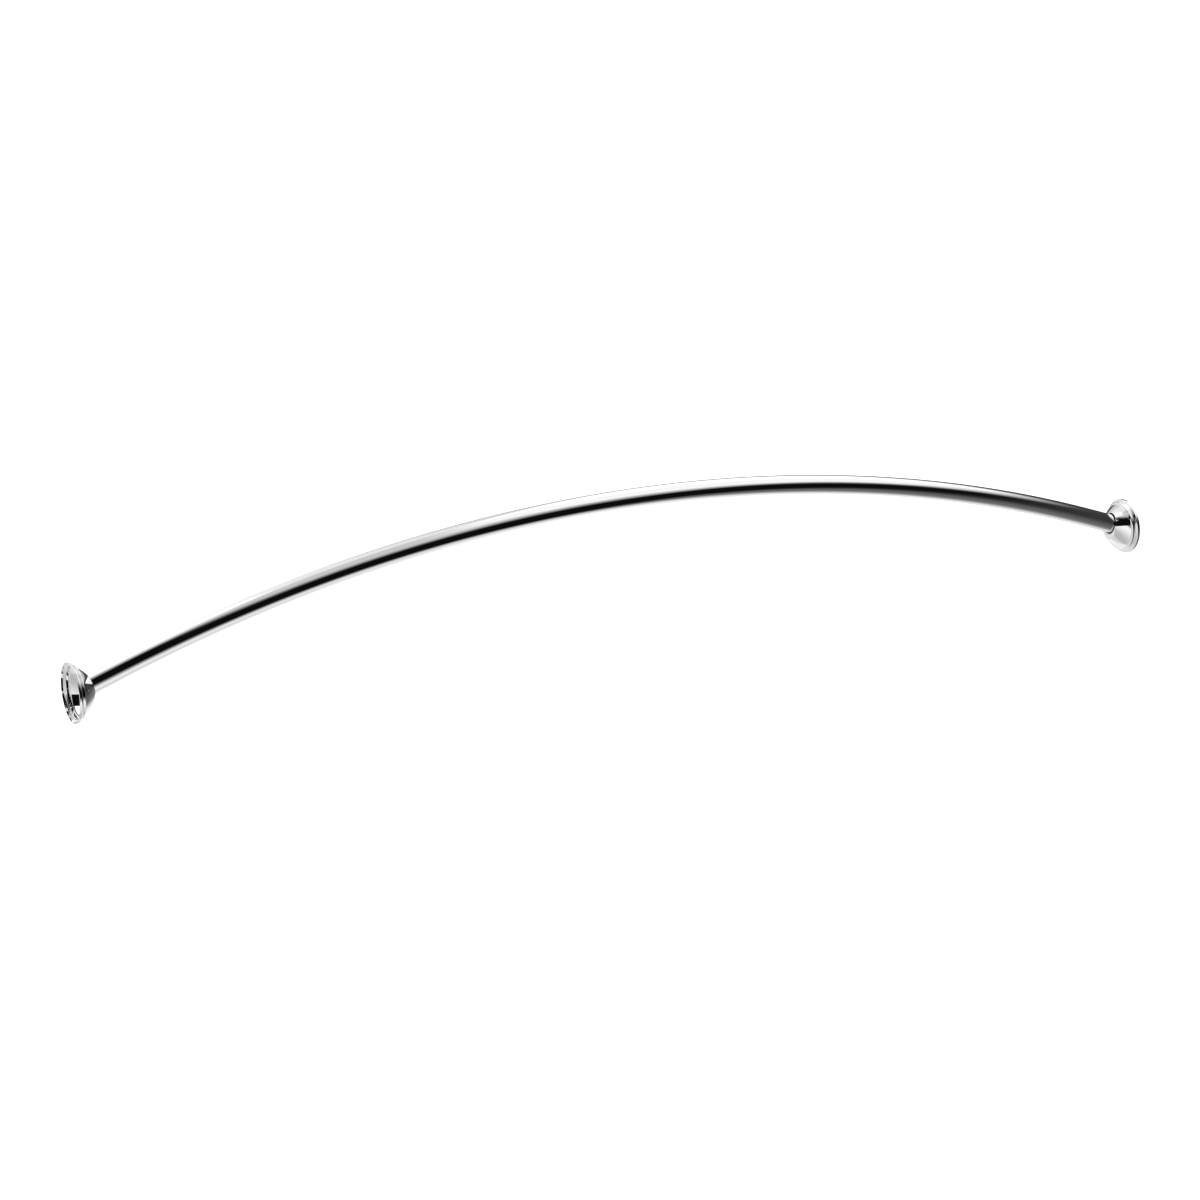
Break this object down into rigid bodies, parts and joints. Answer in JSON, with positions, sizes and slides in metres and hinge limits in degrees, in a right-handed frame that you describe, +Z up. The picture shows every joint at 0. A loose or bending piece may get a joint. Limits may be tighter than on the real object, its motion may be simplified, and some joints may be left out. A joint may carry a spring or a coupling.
{
  "type": "curved shower curtain rod",
  "caption": "Bowed chrome tube for a shower curtain, with a stepped bell-shaped cover at each end that slides and turns on the tube and sits flat on the wall.",
  "frame": {"origin": "centre of the left cover's wall ring, in the plane of the left wall", "axes": "+X along the wall-to-wall line to the right wall, +Y the way the rod bows out over the tub, +Z up"},
  "size_m": [1.524, 0.1902, 0.075],
  "materials": {
    "tube_chrome": "mirror chrome over steel tube",
    "cover_chrome": "mirror chrome over pressed steel sheet",
    "liner_nylon": "black nylon"
  },
  "bodies": {
    "rod": {"curved_tube": "tube_chrome"},
    "left_liner": {"left_neck_liner": "liner_nylon"},
    "left_cover": {"left_cover": "cover_chrome"},
    "right_liner": {"right_neck_liner": "liner_nylon"},
    "right_cover": {"right_cover": "cover_chrome"}
  },
  "joints": [
    {"name": "left_cover_slide", "type": "slide", "parent": "rod", "child": "left_liner", "axis": [0.9428, 0.3333, 0], "range_m": [0, 0.035]},
    {"name": "left_cover_turn", "type": "hinge", "parent": "left_liner", "child": "left_cover", "pos_m": [0.014, 0.00293, 0], "axis": [0.9428, 0.3333, 0], "continuous": true},
    {"name": "right_cover_slide", "type": "slide", "parent": "rod", "child": "right_liner", "axis": [-0.9428, 0.3333, 0], "range_m": [0, 0.035]},
    {"name": "right_cover_turn", "type": "hinge", "parent": "right_liner", "child": "right_cover", "pos_m": [1.51, 0.00293, 0], "axis": [-0.9428, 0.3333, 0], "continuous": true}
  ]
}
